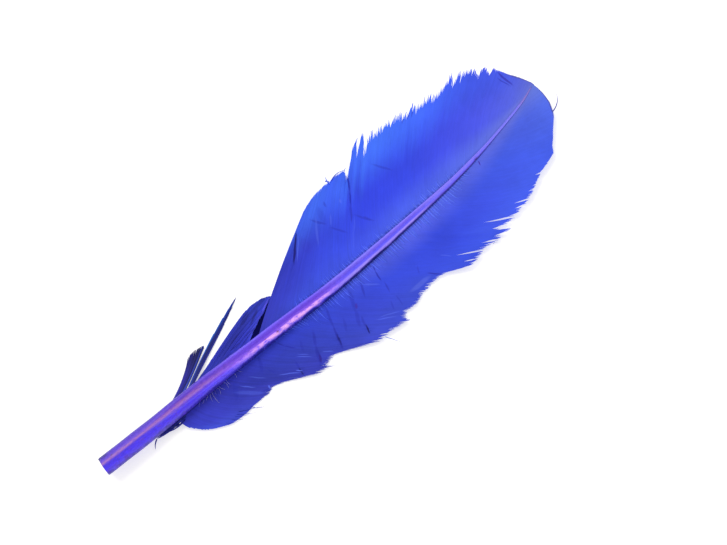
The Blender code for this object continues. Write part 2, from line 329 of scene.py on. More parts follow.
# Small brown and dark marks, where the horn is bruised: station and side, how long, how wide.
for station, side, length, width, colour in (
    (103, 0.74, 1.1, 0.1, "#6A2C3C"), (240, 0.9, 1.8, 0.45, "#3C1E8E"), (6, 0.3, 0.8, 0.08, "#5A2A6A"),
    (3, 0.1, 2.4, 0.1, "#241C70"), (96, 0.62, 0.8, 0.06, "#7A3A60"),
):
    spot = add_node(tree, "ShaderNodeMapping", {
        "Vector": streak_place, "Location": (side, station / SHAFT_LENGTH, 0.0),
        "Scale": (width, length / SHAFT_LENGTH, 1.0),
    }, {"vector_type": "TEXTURE"})
    mark = add_node(tree, "ShaderNodeTexGradient", (spot,), {"gradient_type": "SPHERICAL"}, out=1)
    dyed = add_node(tree, "ShaderNodeMix", {0: mark, 6: dyed, 7: linear(colour)}, COLOURS, out=2)
# Violet blotches break the quill's mauve streak.
blotches = add_node(tree, "ShaderNodeMapRange", (streaks(9.0, 90.0, 5.0), 0.52, 0.64, 0.0, 0.75), SMOOTH)
on_quill = add_node(tree, "ShaderNodeMapRange", (along, 0.36, 0.22), SMOOTH)
blotched = add_node(tree, "ShaderNodeMath", (blotches, on_quill), TIMES)
dyed = add_node(tree, "ShaderNodeMix", {0: blotched, 6: dyed, 7: linear("#5632C6")}, COLOURS, out=2)
fine = streaks(20.0, 150.0, 4.0)
mottling = add_node(tree, "ShaderNodeMath", (fine, 1.1, 0.47), TIMES_PLUS)
coloured = add_node(tree, "ShaderNodeHueSaturation", {"Color": dyed, "Value": mottling})
tree.links.new(coloured, shader.inputs["Base Color"])
gloss = add_node(tree, "ShaderNodeMath", (fine, 0.25, 0.28), TIMES_PLUS)
tree.links.new(gloss, shader.inputs["Roughness"])
relief = add_node(tree, "ShaderNodeBump", {"Strength": 0.5, "Distance": 0.0002, "Height": fine})
tree.links.new(relief, shader.inputs["Normal"])
shader.inputs["Specular IOR Level"].default_value = 0.4
shaft_mesh.materials.append(horn)
shaft = bpy.data.objects.new("shaft", shaft_mesh)
bpy.context.collection.objects.link(shaft)
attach(shaft, "root")
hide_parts("feather")


# The left vane: a few hundred barbs that leave the shaft's flank side by side and bend towards the
# tip. Each barb is a stiff ridge with a soft web of barbules on either side, which hook into the next
# barb's web, so the vane is one cloth, until a pull splits it into locks.
SEED = 12
BARB_STEP = 0.4
BARB_POINTS = 22
BARB_BEND = 1.4
# In the feather's middle part the barbs first leave the shaft more steeply: by how many degrees, and
# over how many millimetres.
FLARE_STATIONS = (105, 125, 215, 240)
FLARE_ANGLE, FLARE_REACH = 38.0, 3.4
# A barb starts inside the shaft and leaves it near the flank, at these shares of its half width.
INSIDE_SHARE, ROOT_SHARE = 0.4, 0.8
# Station, natural length, angle to the shaft at the root and at the tip.
LEFT_BARBS = np.array((
    (39, 28, 18, 38), (45.5, 28, 23, 30.5), (47.6, 28, 24.4, 31.5), (50.2, 53, 32, 20),
    (53.2, 54, 26.5, 23.2), (53.9, 60, 22, 14), (57, 60, 24.5, 13), (60, 60, 26, 9), (66, 56, 27, 5),
    (70, 43, 26, 5), (80, 40, 22, 9), (88, 40, 22, 12), (93.5, 73, 37.2, 27.4), (108, 75, 40, 34.5),
    (122, 69, 46, 37), (140, 62, 53, 39), (150, 66, 54, 39), (180, 63, 56, 39), (200, 60, 54, 37),
    (220, 61, 48, 31), (240, 50, 42, 24), (255, 38, 35, 17), (264, 29, 31, 13), (276, 17, 24, 8),
    (290, 4, 0, 0),
))
# The vane's edge from the base to the tip: the barb's station, and its length there.
LEFT_EDGE = np.array((
    (93.8, 68), (94.6, 69.6), (97.9, 69.2), (100.5, 69), (103.5, 68.2), (106.4, 67.7), (112.9, 66.2),
    (115.9, 65.8), (121, 64.9), (124.5, 64.3), (126.5, 63.2), (128.2, 62.4), (129.3, 63.9), (130.2, 61.6),
    (132, 60.5), (138, 59.1), (144, 57), (149, 55.8), (151, 53.6), (152.4, 51.4), (153.4, 51.8),
    (154.1, 55.5), (154.6, 63), (155, 67.4), (155.6, 68.8), (156.6, 68), (157.8, 66.2), (158.7, 62),
    (159.3, 57.6), (160, 62), (160.7, 67.2), (161.6, 67.6), (163.6, 65), (164.6, 60.5), (165.3, 56.6),
    (166, 57.6), (167.3, 60.8), (169.7, 64.3), (171, 62.6), (172.4, 61.2), (175.7, 61.8), (179.5, 61.3),
    (183, 60.9), (187, 61), (188.9, 60.9), (190.3, 61.9), (191.6, 60.2), (193.3, 59.2), (195, 59.6),
    (196.6, 62.2), (198.4, 60.4), (199.4, 57.4), (200.6, 57.4), (202.2, 59), (204, 59.2), (205.7, 59.4),
    (207.4, 61.1), (208.7, 58.4), (209.5, 57.4), (210.6, 59.8), (212, 56.6), (213.5, 59.9), (216, 61.4),
    (217.9, 64.8), (219.6, 61.8), (221.2, 58.8), (222.6, 63.2), (224.7, 62), (226.2, 60.2), (227.6, 61.6),
    (229.6, 60.7), (232.1, 58.4), (234.9, 52.6), (235.9, 56.2), (237.3, 56.4), (239.4, 53.4),
    (241.8, 48.4), (243.1, 51.6), (248.4, 46), (257, 36.9), (262.6, 31.2), (267.9, 25.7), (276, 17.3),
    (283, 10.2), (290, 2.6),
))
# The height of the vane's back, by distance from the shaft's middle, where the shaft lies flat.
VANE_RISE = np.array((
    (0, 1.9), (5, 1.2), (10, 0.4), (16, 0), (22, 0.3), (30, 1.3), (38, 2.7), (46, 4.4), (60, 7.0),
))
# Where the shaft is thin, the vane's back is lower too, within this reach of it.
FLANK_REACH, FULL_DEPTH = 12.0, 5.8
# Out from the shaft the vane sags back by a share of the height that the shaft's curve gives it.
SAG_SHARE, SAG_REACH = 0.35, 30.0
# A slow wave runs along the outer half of both vanes.
WAVE_HEIGHT, WAVE_LENGTH, WAVE_FROM, WAVE_FULL = 0.45, 52.0, 18.0, 40.0
VANE_ROOT_THICKNESS, VANE_EDGE_THICKNESS = 0.55, 0.32


def vane_back(x, y):
    """The height of the vane's back over the surface, in millimetres, as the solid has it."""
    station = np.minimum(x, SHAFT_LENGTH)
    away = np.abs(y - smooth(station, 1))
    rise = np.interp(away, VANE_RISE[:, 0], VANE_RISE[:, 1])
    thin = np.minimum(1.0, smooth(station, 4) / FULL_DEPTH)
    rise = np.where(away < FLANK_REACH, rise * (thin + (1 - thin) * away / FLANK_REACH), rise)
    waving = WAVE_HEIGHT * np.clip((away - WAVE_FROM) / (WAVE_FULL - WAVE_FROM), 0, 1)
    waves = waving * (1 + np.sin(tau * x / WAVE_LENGTH + np.where(y > 0, 1, 3)))
    sag = 1 - SAG_SHARE * np.minimum(1.0, away / SAG_REACH)
    return back_height(station) * sag + rise + waves


PATH_STEPS = 100
END_CROWDING = 0.11


def grow(side, roots, lengths, habit, flare_reach=FLARE_REACH):
    """Plan places of many barbs, and how far out along its barb every place is, in millimetres."""
    natural = np.interp(roots, habit[:, 0], habit[:, 1])[:, None]
    root_angle = np.interp(roots, habit[:, 0], habit[:, 2])[:, None]
    tip_angle = np.interp(roots, habit[:, 0], habit[:, 3])[:, None]
    half, turn = smooth(roots, 3) / 2, heading(roots)
    edges = np.linspace(0, 1, PATH_STEPS + 1)[None, :] * lengths[:, None]
    out_at = (edges[:, 1:] + edges[:, :-1]) / 2
    still = 1 - np.minimum(1.0, out_at / natural)
    begins, begun, ends, ended = FLARE_STATIONS
    flare = FLARE_ANGLE * ease(roots, begins, begun) * (1 - ease(roots, ends, ended))
    bend = (root_angle - tip_angle) * still ** BARB_BEND
    bend = bend + flare[:, None] * np.exp(-(out_at / flare_reach) ** 2)
    angle = turn[:, None] + side * np.radians(tip_angle + bend)
    stride = (lengths / PATH_STEPS)[:, None]
    out = np.stack([-np.sin(turn), np.cos(turn)], axis=-1) * (side * half)[:, None]
    middle = np.stack([roots, smooth(roots, 1)], axis=-1)
    start = middle + out * ROOT_SHARE
    path_x, path_y = (
        start[:, k:k + 1] + np.concatenate([0 * stride, np.cumsum(part, axis=1) * stride], axis=1)
        for k, part in enumerate((np.cos(angle), np.sin(angle)))
    )
    # Places are closer together at both ends, where a barb leaves the shaft and where the tips part.
    even = np.linspace(0, 1, BARB_POINTS)
    shares = even - END_CROWDING * np.sin(tau * even)
    at = shares * PATH_STEPS
    low = np.minimum(at.astype(int), PATH_STEPS - 1)
    part = (at - low)[None, :]
    x = path_x[:, low] * (1 - part) + path_x[:, low + 1] * part
    y = path_y[:, low] * (1 - part) + path_y[:, low + 1] * part
    inside = middle + out * INSIDE_SHARE
    x = np.concatenate([inside[:, :1], x], axis=1)
    y = np.concatenate([inside[:, 1:], y], axis=1)
    walked = np.concatenate([np.zeros((len(roots), 1)), shares[None, :] * lengths[:, None]], axis=1)
    return np.stack([x, y], axis=-1), walked


def unit(vectors):
    """The same directions, all of length 1."""
    return vectors / np.maximum(1e-9, np.linalg.norm(vectors, axis=-1, keepdims=True))


def towards_base(side, plan):
    """For every place, the direction in plan square to its barb, towards the feather's base."""
    tangent = unit(np.gradient(plan, axis=1))
    return np.stack([-tangent[..., 1], tangent[..., 0]], axis=-1) * side


def spacing(plan):
    """Half the distance between neighbouring barbs, square to them, at every place."""
    tangent = unit(np.gradient(plan, axis=1))
    gap = np.diff(plan, axis=0)
    square = np.abs(gap[..., 0] * tangent[:-1, :, 1] - gap[..., 1] * tangent[:-1, :, 0])
    padded = np.concatenate([square[:1], square, square[-1:]], axis=0)
    return (padded[1:] + padded[:-1]) / 4


def random_waves(values, draw, count, longest, shortest):
    """A smooth random line, about -1 to 1, made of a few waves."""
    total = np.zeros_like(values)
    for k in range(count):
        length = longest * (shortest / longest) ** (k / (count - 1))
        total += np.sin(tau * (values / length + draw.random())) * (0.6 + 0.4 * draw.random())
    return total / count ** 0.5


# Tips that cling together: how wide such a group is, and over what length its barbs lean together.
CLUMP_WIDTHS, CLUMP_REACHES = (0.8, 4.5), (3, 7)


def fray(side, plan, walked, roots, lengths, draw, amount, curl):
    """Parts the barbs' tips: small groups cling together and curl back, and single barbs leave them."""
    share = walked / lengths[:, None]
    shift, starts = np.zeros(len(roots)), np.ones(len(roots))
    place = roots[0]
    while place < roots[-1]:
        width = draw.uniform(*CLUMP_WIDTHS)
        group = (roots >= place) & (roots < place + width)
        centre = place + width * draw.uniform(0.1, 0.9)
        shift[group] = (centre - roots[group]) * draw.uniform(0.05, 0.4)
        shift[group] += draw.normal(0, 0.25) - curl * draw.random()
        starts[group] = 1 - draw.uniform(*CLUMP_REACHES) / lengths[group]
        place += width
    shift += draw.normal(0, 0.36, len(roots))
    near_tip = np.clip((share - starts[:, None]) / (1 - starts[:, None]), 0, 1) ** 1.8
    return plan - towards_base(side, plan) * ((shift * amount)[:, None] * near_tip)[..., None]


def lean(side, plan, walked, roots, lengths, locks):
    """Bends whole locks sideways towards their tips: first and last station, and by how much."""
    sideways = towards_base(side, plan)
    share = walked / lengths[:, None]
    for first, last, amount in locks:
        inside = ease(roots, first - 0.8, first + 0.8) * (1 - ease(roots, last - 0.8, last + 0.8))
        plan = plan + sideways * ((inside * amount)[:, None] * ease(share, 0.72, 1.1))[..., None]
    return plan


def creases(plan, lines):
    """Soft folds pressed into the vane: how deep every place is."""
    depth = np.zeros(plan.shape[:2])
    for x0, y0, x1, y1, width, deep in lines:
        along = np.array((x1 - x0, y1 - y0))
        way = (plan - (x0, y0)) @ along / (along @ along)
        nearest = np.stack([x0 + way * along[0], y0 + way * along[1]], axis=-1)
        away = np.linalg.norm(plan - nearest, axis=-1)
        depth += deep * np.exp(-(away / width) ** 2) * ease(way, -0.15, 0.2) * (1 - ease(way, 0.8, 1.15))
    return depth


# A barb's web reaches past the middle of the gap to its neighbour, within these half widths. The
# narrowest is wider where the barbs fan round the shaft's tip.
WEB_COVER, NARROWEST_WEB, WIDEST_WEB, FAN_WIDENING = 1.4, 0.07, 0.42, 0.16
LOWEST_BARB = 0.14
SLOPE_STEP = 0.6


def barb_rows(plan, walked, roots, lengths, spaces, lift, tone, loose):
    """What the sweep and the dye need to know at every place of a group of barbs."""
    share = walked / lengths[:, None]
    thick = VANE_ROOT_THICKNESS + (VANE_EDGE_THICKNESS - VANE_ROOT_THICKNESS) * share
    back = vane_back(plan[..., 0], plan[..., 1])
    height = np.maximum(LOWEST_BARB, back + thick / 2 + lift)
    places = np.concatenate([plan, height[..., None]], axis=-1)
    tangent = unit(np.gradient(places, axis=1))
    sideways = np.stack([-tangent[..., 1], tangent[..., 0]], axis=-1)
    beside = plan + sideways * SLOPE_STEP
    rise = (vane_back(beside[..., 0], beside[..., 1]) - back) / SLOPE_STEP
    fanned = FAN_WIDENING * ease(roots, 272, 286)[:, None]
    widths = np.clip(spaces * WEB_COVER, NARROWEST_WEB + fanned, WIDEST_WEB)
    # Where the barbs are loose, the web ends in a fine point.
    ending = ease(walked, lengths[:, None] - 4.0, lengths[:, None] - 0.2)
    widths = widths * (1 - 0.8 * ending * loose[:, None])
    widths[:, 0] = 0.0
    widths[:, -1] = 0.0
    return {
        "places": places,
        "across": unit(np.concatenate([sideways[..., :2], rise[..., None]], axis=-1)),
        "half_width": widths * MM,
        "station": np.repeat(roots[:, None] / SHAFT_LENGTH, plan.shape[1], axis=1),
        "out": share,
        "from_shaft": walked,
        "tone": tone if tone.ndim == 2 else np.repeat(tone[:, None], plan.shape[1], axis=1),
    }


# The rule that makes barbs: a section, a ridge with a web on either side, is drawn along every path.
sweep_tree = bpy.data.node_groups.new("barbs swept along their paths", "GeometryNodeTree")
for socket_name, socket_type in (
    ("Paths", "Geometry"), ("Ridge Height", "Float"), ("Web Thickness", "Float"), ("Random Roll", "Float"),
    ("Barb Count", "Float"), ("Seed", "Int"), ("Dyed Barb", "Material"),
):
    sweep_tree.interface.new_socket(socket_name, in_out="INPUT", socket_type="NodeSocket" + socket_type)
sweep_tree.interface.new_socket("Barbs", in_out="OUTPUT", socket_type="NodeSocketGeometry")
given = sweep_tree.nodes.new("NodeGroupInput").outputs
result = sweep_tree.nodes.new("NodeGroupOutput")
stored = {
    name: add_node(sweep_tree, "GeometryNodeInputNamedAttribute", {"Name": name}, {"data_type": kind})
    for name, kind in (
        ("across", "FLOAT_VECTOR"), ("half_width", "FLOAT"), ("barb", "FLOAT"), ("out", "FLOAT"),
    )
}
curves = add_node(sweep_tree, "GeometryNodeMeshToCurve", {"Mesh": given["Paths"]})
faced = add_node(
    sweep_tree, "GeometryNodeSetCurveNormal",
    {"Curve": curves, "Normal": stored["across"]}, {"mode": "FREE"},
)
other_way = add_node(sweep_tree, "ShaderNodeMath", (given["Random Roll"], -1.0), TIMES)
roll = add_node(sweep_tree, "FunctionNodeRandomValue", {
    2: other_way, 3: given["Random Roll"], "ID": stored["barb"], "Seed": given["Seed"],
}, {"data_type": "FLOAT"}, out=1)
rolled = add_node(sweep_tree, "GeometryNodeSetCurveTilt", {"Curve": faced, "Tilt": roll})
# The section is a triangle with its ridge up, opened at one corner, so that each barb has a UV seam.
section = add_node(
    sweep_tree, "GeometryNodeCurveArc",
    {"Resolution": 4, "Radius": 1.0, "Start Angle": radians(-30), "Sweep Angle": radians(360)},
    {"mode": "RADIUS"},
)
round_place = add_node(sweep_tree, "GeometryNodeSplineParameter")
marked = add_node(
    sweep_tree, "GeometryNodeStoreNamedAttribute",
    {"Geometry": section, "Name": "round", "Value": round_place}, {"data_type": "FLOAT", "domain": "POINT"},
)
here = add_node(sweep_tree, "GeometryNodeInputPosition")
section_x = add_node(sweep_tree, "ShaderNodeSeparateXYZ", (here,), out="X")
section_y = add_node(sweep_tree, "ShaderNodeSeparateXYZ", (here,), out="Y")
web_side = add_node(sweep_tree, "ShaderNodeMath", (section_x, 1 / cos(radians(30))), TIMES)
ridge_up = add_node(sweep_tree, "ShaderNodeMath", (section_y, 0.0), {"operation": "MAXIMUM"})
web_down = add_node(sweep_tree, "ShaderNodeMath", (section_y, 0.0), {"operation": "MINIMUM"})
ridge_y = add_node(sweep_tree, "ShaderNodeMath", (ridge_up, given["Ridge Height"]), TIMES)
shaped_y = add_node(sweep_tree, "ShaderNodeMath", (web_down, given["Web Thickness"], ridge_y), TIMES_PLUS)
section_place = add_node(sweep_tree, "ShaderNodeCombineXYZ", (web_side, shaped_y))
shaped = add_node(sweep_tree, "GeometryNodeSetPosition", {"Geometry": marked, "Position": section_place})
swept = add_node(
    sweep_tree, "GeometryNodeCurveToMesh",
    {"Curve": rolled, "Profile Curve": shaped, "Scale": stored["half_width"]},
)
# Each barb is one strip of its own UV map.
round_stored = add_node(
    sweep_tree, "GeometryNodeInputNamedAttribute", {"Name": "round"}, {"data_type": "FLOAT"}
)
in_strip = add_node(sweep_tree, "ShaderNodeMath", (round_stored, 0.9, 0.05), TIMES_PLUS)
strip_place = add_node(sweep_tree, "ShaderNodeMath", (stored["barb"], in_strip), PLUS)
strip_u = add_node(
    sweep_tree, "ShaderNodeMath", (strip_place, given["Barb Count"]), {"operation": "DIVIDE"}
)
strip_v = add_node(sweep_tree, "ShaderNodeMath", (stored["out"], 0.98, 0.01), TIMES_PLUS)
strip_uv = add_node(sweep_tree, "ShaderNodeCombineXYZ", (strip_u, strip_v))
mapped = add_node(
    sweep_tree, "GeometryNodeStoreNamedAttribute",
    {"Geometry": swept, "Name": "OFBake", "Value": strip_uv}, {"data_type": "FLOAT2", "domain": "CORNER"},
)
closed = add_node(sweep_tree, "GeometryNodeMergeByDistance", {"Geometry": mapped, "Distance": 1e-6})
soft = add_node(sweep_tree, "GeometryNodeSetShadeSmooth", {"Geometry": closed})
# The web's thin rims stay sharp, so that light falls on it as on a flat web, not on a round thread.
fold_angle = add_node(sweep_tree, "GeometryNodeInputMeshEdgeAngle")
gentle = add_node(sweep_tree, "FunctionNodeCompare", (fold_angle, 1.2), {"operation": "LESS_THAN"})
edged = add_node(
    sweep_tree, "GeometryNodeSetShadeSmooth", {"Geometry": soft, "Shade Smooth": gentle}, {"domain": "EDGE"}
)
real = add_node(sweep_tree, "GeometryNodeRealizeInstances", {"Geometry": edged})
painted = add_node(
    sweep_tree, "GeometryNodeSetMaterial", {"Geometry": real, "Material": given["Dyed Barb"]}
)
sweep_tree.links.new(painted, result.inputs["Barbs"])


def sweep(name, rows, sizes, material):
    """Sweeps barbs along their paths and makes the result one plain piece of the feather."""
    rows = {key: np.concatenate([group[key] for group in rows]) for key in rows[0]}
    places = rows.pop("places")
    count, points = places.shape[:2]
    rows["barb"] = np.repeat(np.arange(count, dtype=float)[:, None], points, axis=1)
    index = np.arange(count * points).reshape(count, points)
    edges = np.stack([index[:, :-1].ravel(), index[:, 1:].ravel()], axis=1)
    paths = bpy.data.meshes.new(name + "_paths")
    paths.from_pydata(to_frame(places.reshape(-1, 3)).tolist(), edges.tolist(), [])
    for key, values in rows.items():
        vector = values.ndim == 3
        layer = paths.attributes.new(key, "FLOAT_VECTOR" if vector else "FLOAT", "POINT")
        layer.data.foreach_set("vector" if vector else "value", values.astype(np.float32).ravel())
    holder = bpy.data.objects.new(name + "_paths", paths)
    bpy.context.collection.objects.link(holder)
    sweeper = holder.modifiers.new("sweep the barbs", "NODES")
    sweeper.node_group = sweep_tree
    given_values = dict(sizes, **{"Barb Count": float(count), "Dyed Barb": material})
    for socket in sweep_tree.interface.items_tree:
        if socket.in_out == "INPUT" and socket.name in given_values:
            sweeper[socket.identifier] = given_values[socket.name]
    depsgraph = bpy.context.evaluated_depsgraph_get()
    mesh = bpy.data.meshes.new_from_object(
        holder.evaluated_get(depsgraph), preserve_all_data_layers=True, depsgraph=depsgraph
    )
    bpy.data.objects.remove(holder, do_unlink=True)
    piece = bpy.data.objects.new(name, mesh)
    bpy.context.collection.objects.link(piece)
    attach(piece, "root")
    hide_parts("feather")


# Dyed barb keratin: matt satin threads. The colour shifts along the feather and out from the shaft,
# partly as the dye does and partly as painted light: darker at the base, where less light falls, and
# a painted sheen beside the shaft towards the tip. It is a little different on every barb, and lies
# in soft patches. Painted shade in folds shows as dark strokes, and painted highlights as light ones.
# A stroke fades out towards its ends, so it reaches a little past its fold: this share of the fold's
# length to either side of the middle. It wobbles within so many millimetres.
STROKE_HALF_LENGTH = 0.62
STROKE_WOBBLE = 1.2


def dyed_and_shaded_barbs(name, root, middle, edge, strokes=(), gloss=0.2, flank_reach=1.1):
    """Shades along the feather at the barbs' roots, middles and ends, and strokes laid over them:
    from where to where in plan, how wide, how strong, and which colour."""
    material = bpy.data.materials.new(name)
    material.use_nodes = True
    tree = material.node_tree
    shader = tree.nodes["Principled BSDF"]
    along, out, tone, from_shaft = (
        add_node(tree, "ShaderNodeAttribute", settings={"attribute_name": attribute}, out="Fac")
        for attribute in ("station", "out", "tone", "from_shaft")
    )
    root_shade, middle_shade, edge_shade = (
        add_node(tree, "ShaderNodeValToRGB", (along,), stops=stops) for stops in (root, middle, edge)
    )
    to_middle = add_node(tree, "ShaderNodeMapRange", (out, 0.0, 0.35), SMOOTH)
    to_edge = add_node(tree, "ShaderNodeMapRange", (out, 0.45, 0.90), SMOOTH)
    inner = add_node(tree, "ShaderNodeMix", {0: to_middle, 6: root_shade, 7: middle_shade}, COLOURS, out=2)
    dyed = add_node(tree, "ShaderNodeMix", {0: to_edge, 6: inner, 7: edge_shade}, COLOURS, out=2)
    # Near the tip the barbs' very ends are darker.
    at_end = add_node(tree, "ShaderNodeMapRange", (out, 0.955, 0.99), SMOOTH)
    near_tip = add_node(tree, "ShaderNodeMapRange", (along, 0.865, 0.90), SMOOTH)
    dark_tip_ends = add_node(tree, "ShaderNodeMath", (at_end, near_tip), TIMES)
    dyed = add_node(tree, "ShaderNodeMix", {0: dark_tip_ends, 6: dyed, 7: linear("#4A4A9A")}, COLOURS, out=2)
    # Painted shade: a dark line where the vane dips under the shaft's flank, fainter towards the tip.
    close = add_node(tree, "ShaderNodeMapRange", (from_shaft, flank_reach, 0.3), SMOOTH)
    deep = add_node(tree, "ShaderNodeMapRange", (along, 0.55, 0.85, 1.0, 0.15))
    flank_shade = add_node(tree, "ShaderNodeMath", (close, deep), TIMES)
    dyed = add_node(tree, "ShaderNodeMix", {0: flank_shade, 6: dyed, 7: linear("#141466")}, COLOURS, out=2)
    place = add_node(tree, "ShaderNodeTexCoord", out="Object")
    wobble = add_node(tree, "ShaderNodeTexNoise", {"Vector": place, "Scale": 160.0, "Detail": 2.0}, out=1)
    wobbled = add_node(
        tree, "ShaderNodeVectorMath",
        {0: wobble, 1: (STROKE_WOBBLE * MM, STROKE_WOBBLE * MM, 0.0), 2: place}, TIMES_PLUS,
    )
    fold_depth = 0.0
    for x0, y0, x1, y1, width, strength, colour in strokes:
        centre = to_frame(np.array(((x0 + x1) / 2, (y0 + y1) / 2, 0.0)))
        length = float(np.hypot(x1 - x0, y1 - y0))
        spot = add_node(tree, "ShaderNodeMapping", {
            "Vector": wobbled,
            "Location": (*(centre[:2] + STROKE_WOBBLE / 2 * MM), 0.0),
            "Rotation": (0.0, 0.0, float(np.arctan2(y1 - y0, x1 - x0))),
            "Scale": (length * STROKE_HALF_LENGTH * MM, width * MM, 1.0),
        }, {"vector_type": "TEXTURE"})
        near = add_node(tree, "ShaderNodeTexGradient", (spot,), {"gradient_type": "SPHERICAL"}, out=1)
        mark = add_node(tree, "ShaderNodeMapRange", (near, 0.0, 0.55, 0.0, strength), SMOOTH)
        dyed = add_node(tree, "ShaderNodeMix", {0: mark, 6: dyed, 7: linear(colour)}, COLOURS, out=2)
        fold_depth = add_node(tree, "ShaderNodeMath", (mark, fold_depth), PLUS)
    uv = add_node(tree, "ShaderNodeUVMap", settings={"uv_map": "OFBake"})
    # Fibres run along every barb, a few side by side, and bands of a few barbs each take the dye alike.
    # In the barbs' map the strip of one barb is only about 0.002 wide.
    fibre_place, band_place = (
        add_node(tree, "ShaderNodeMapping", {"Vector": uv, "Scale": counts})
        for counts in ((1500.0, 90.0, 1.0), (150.0, 9.0, 1.0))
    )
    fibre = add_node(tree, "ShaderNodeTexNoise", {"Vector": fibre_place, "Scale": 1.0, "Detail": 2.0})
    bands = add_node(tree, "ShaderNodeTexNoise", {"Vector": band_place, "Scale": 1.0, "Detail": 3.0})
    # Soft patches of about 18 mm.
    patches = add_node(tree, "ShaderNodeTexNoise", {"Vector": place, "Scale": 55.0, "Detail": 3.0})
    patchy = add_node(tree, "ShaderNodeMath", (patches, 0.34, 0.63), TIMES_PLUS)
    banded = add_node(tree, "ShaderNodeMath", (bands, 0.20, patchy), TIMES_PLUS)
    toned = add_node(tree, "ShaderNodeMath", (tone, 0.16, banded), TIMES_PLUS)
    value = add_node(tree, "ShaderNodeMath", (fibre, 0.16, toned), TIMES_PLUS)
    varied = add_node(tree, "ShaderNodeHueSaturation", {"Color": dyed, "Value": value})
    tree.links.new(varied, shader.inputs["Base Color"])
    rough = add_node(tree, "ShaderNodeMath", (fibre, 0.2, 0.5), TIMES_PLUS)
    tree.links.new(rough, shader.inputs["Roughness"])
    # Barbules stand about 0.04 mm apart; they are drawn as ribs of 0.3 mm, so that they show.
    rib_place = add_node(tree, "ShaderNodeMapping", {"Vector": uv, "Scale": (0.0, 220.0, 1.0)})
    ribs = add_node(
        tree, "ShaderNodeTexWave", {"Vector": rib_place, "Scale": 0.3}, {"bands_direction": "Y"}, out=1
    )
    folded = add_node(tree, "ShaderNodeMath", (fold_depth, -2.0, ribs), TIMES_PLUS)
    relief = add_node(tree, "ShaderNodeBump", {"Strength": 0.2, "Distance": 0.0001, "Height": folded})
    tree.links.new(relief, shader.inputs["Normal"])
    shader.inputs["Specular IOR Level"].default_value = gloss
    return material


# Painted shade for the deepest folds and cracks and for the others, a painted highlight where raised barbs
# catch the light, and the tip's lilac dye.
DEEP_SHADE, SHADE, GLOW, LILAC = "#0C0E74", "#2029A6", "#5A70F0", "#606DC8"
left_dye_and_light = dyed_and_shaded_barbs(
    "dyed barb keratin and painted light, left vane",
    ((0.32, "#282CA6"), (0.45, "#3248D0"), (0.57, "#384EDC"), (0.66, "#445CE2"), (0.74, "#465CDC"),
     (0.86, "#5A6CDC"), (0.96, "#6872D2")),
    ((0.32, "#2830AE"), (0.4, "#2A36C2"), (0.5, "#2E44DA"), (0.58, "#2A3EDC"), (0.68, "#2E42DE"),
     (0.76, "#3846DC"), (0.84, "#424EDC"), (0.92, "#4E5CDA"), (1, LILAC)),
    ((0.32, "#3454DC"), (0.4, "#3C66EE"), (0.48, "#3A60F0"), (0.6, "#3F70F8"), (0.7, "#3E66F8"),
     (0.8, "#3A52E2"), (0.87, "#3E50DA"), (1, "#606AC4")),
    # Painted shade along folds and cracks, and last, painted highlights: lighter lines where raised
    # barbs catch the light.
    (
        (119.9, 14, 145.4, 25.3, 2.2, 0.4, SHADE), (145.8, 23.5, 143.8, 14.1, 3.2, 0.18, "#2C28AC"),
        (187, 33, 180.8, 24.7, 0.65, 0.95, "#1C2CB4"), (181.4, 25.4, 176.2, 18.9, 0.6, 0.95, "#1C2CB4"),
        (177.2, 20.2, 170.4, 12.2, 0.8, 0.6, SHADE), (163, 29.5, 160, 20, 2.2, 0.2, SHADE),
        (285.2, 20.3, 284.6, 8.4, 0.85, 0.8, "#2A2AA8"), (282.6, 18, 283.4, 9.5, 0.5, 0.6, SHADE),
        (234.4, 35.6, 230.5, 33.1, 0.5, 0.5, SHADE), (237.5, 35.8, 232.9, 32.6, 0.5, 0.5, SHADE),
        (230.4, 35.3, 226.9, 33.2, 0.45, 0.4, SHADE), (199.7, 28.3, 205.7, 18.7, 0.9, 0.35, SHADE),
        (155.5, 27.2, 160.2, 20.4, 0.9, 0.45, SHADE), (160.4, 17.8, 165.2, 9.9, 0.8, 0.4, SHADE),
        (174.5, 14.2, 179.5, 4.7, 0.8, 0.4, SHADE), (167.2, 29.6, 166.3, 26.9, 0.9, 0.4, SHADE),
        (177.1, 11, 178.9, 6.2, 0.8, 0.35, SHADE), (146.2, 27.4, 139.4, 21.4, 0.55, 1, DEEP_SHADE),
        (142.5, 24.4, 134, 15.9, 0.85, 1, DEEP_SHADE), (145.4, 25.3, 135.9, 15.6, 0.3, 0.5, GLOW),
        (159.1, 26.9, 149.1, 14.9, 0.8, 0.3, GLOW), (174, 13.9, 167.9, 7.7, 0.4, 0.2, GLOW),
        (171.1, 12.1, 160.5, 0.7, 0.5, 0.15, GLOW), (165.4, 22.9, 161.4, 18, 0.6, 0.3, GLOW),
        (174.5, 25.5, 173.6, 23.5, 0.7, 0.4, GLOW),
    ),
    # Seen from the right, the shaft hides this vane's first millimetres, so the shade reaches further.
    flank_reach=2.7,
)
BARB_SIZES = {"Ridge Height": 0.14, "Web Thickness": 0.2, "Random Roll": radians(1.5), "Seed": SEED}
# Wide folds: from where to where in plan, how wide, how deep.
LEFT_CREASES = (
    (186.4, 32.2, 176, 18.8, 1.6, 0.4), (280.5, 23.1, 280.2, 14.1, 1.4, 0.3),
    (120, 12, 127, 24, 2.4, 0.3), (147.4, 28.4, 133, 14.6, 1.5, 0.5),
)
# Locks that bend towards the base at their tips, or away from it where the amount is negative: first
# and last barb, and by how much.
LEFT_LEANS = ((158.9, 165.1, 0.3), (194.9, 199.9, -0.3), (232.5, 235, 0.4))
# Here the vane was once split, and its upper part lies over the lower.
OLD_SPLIT = 152.6
FIRST_LEFT_BARB, LAST_BARB = 94.0, 290.1

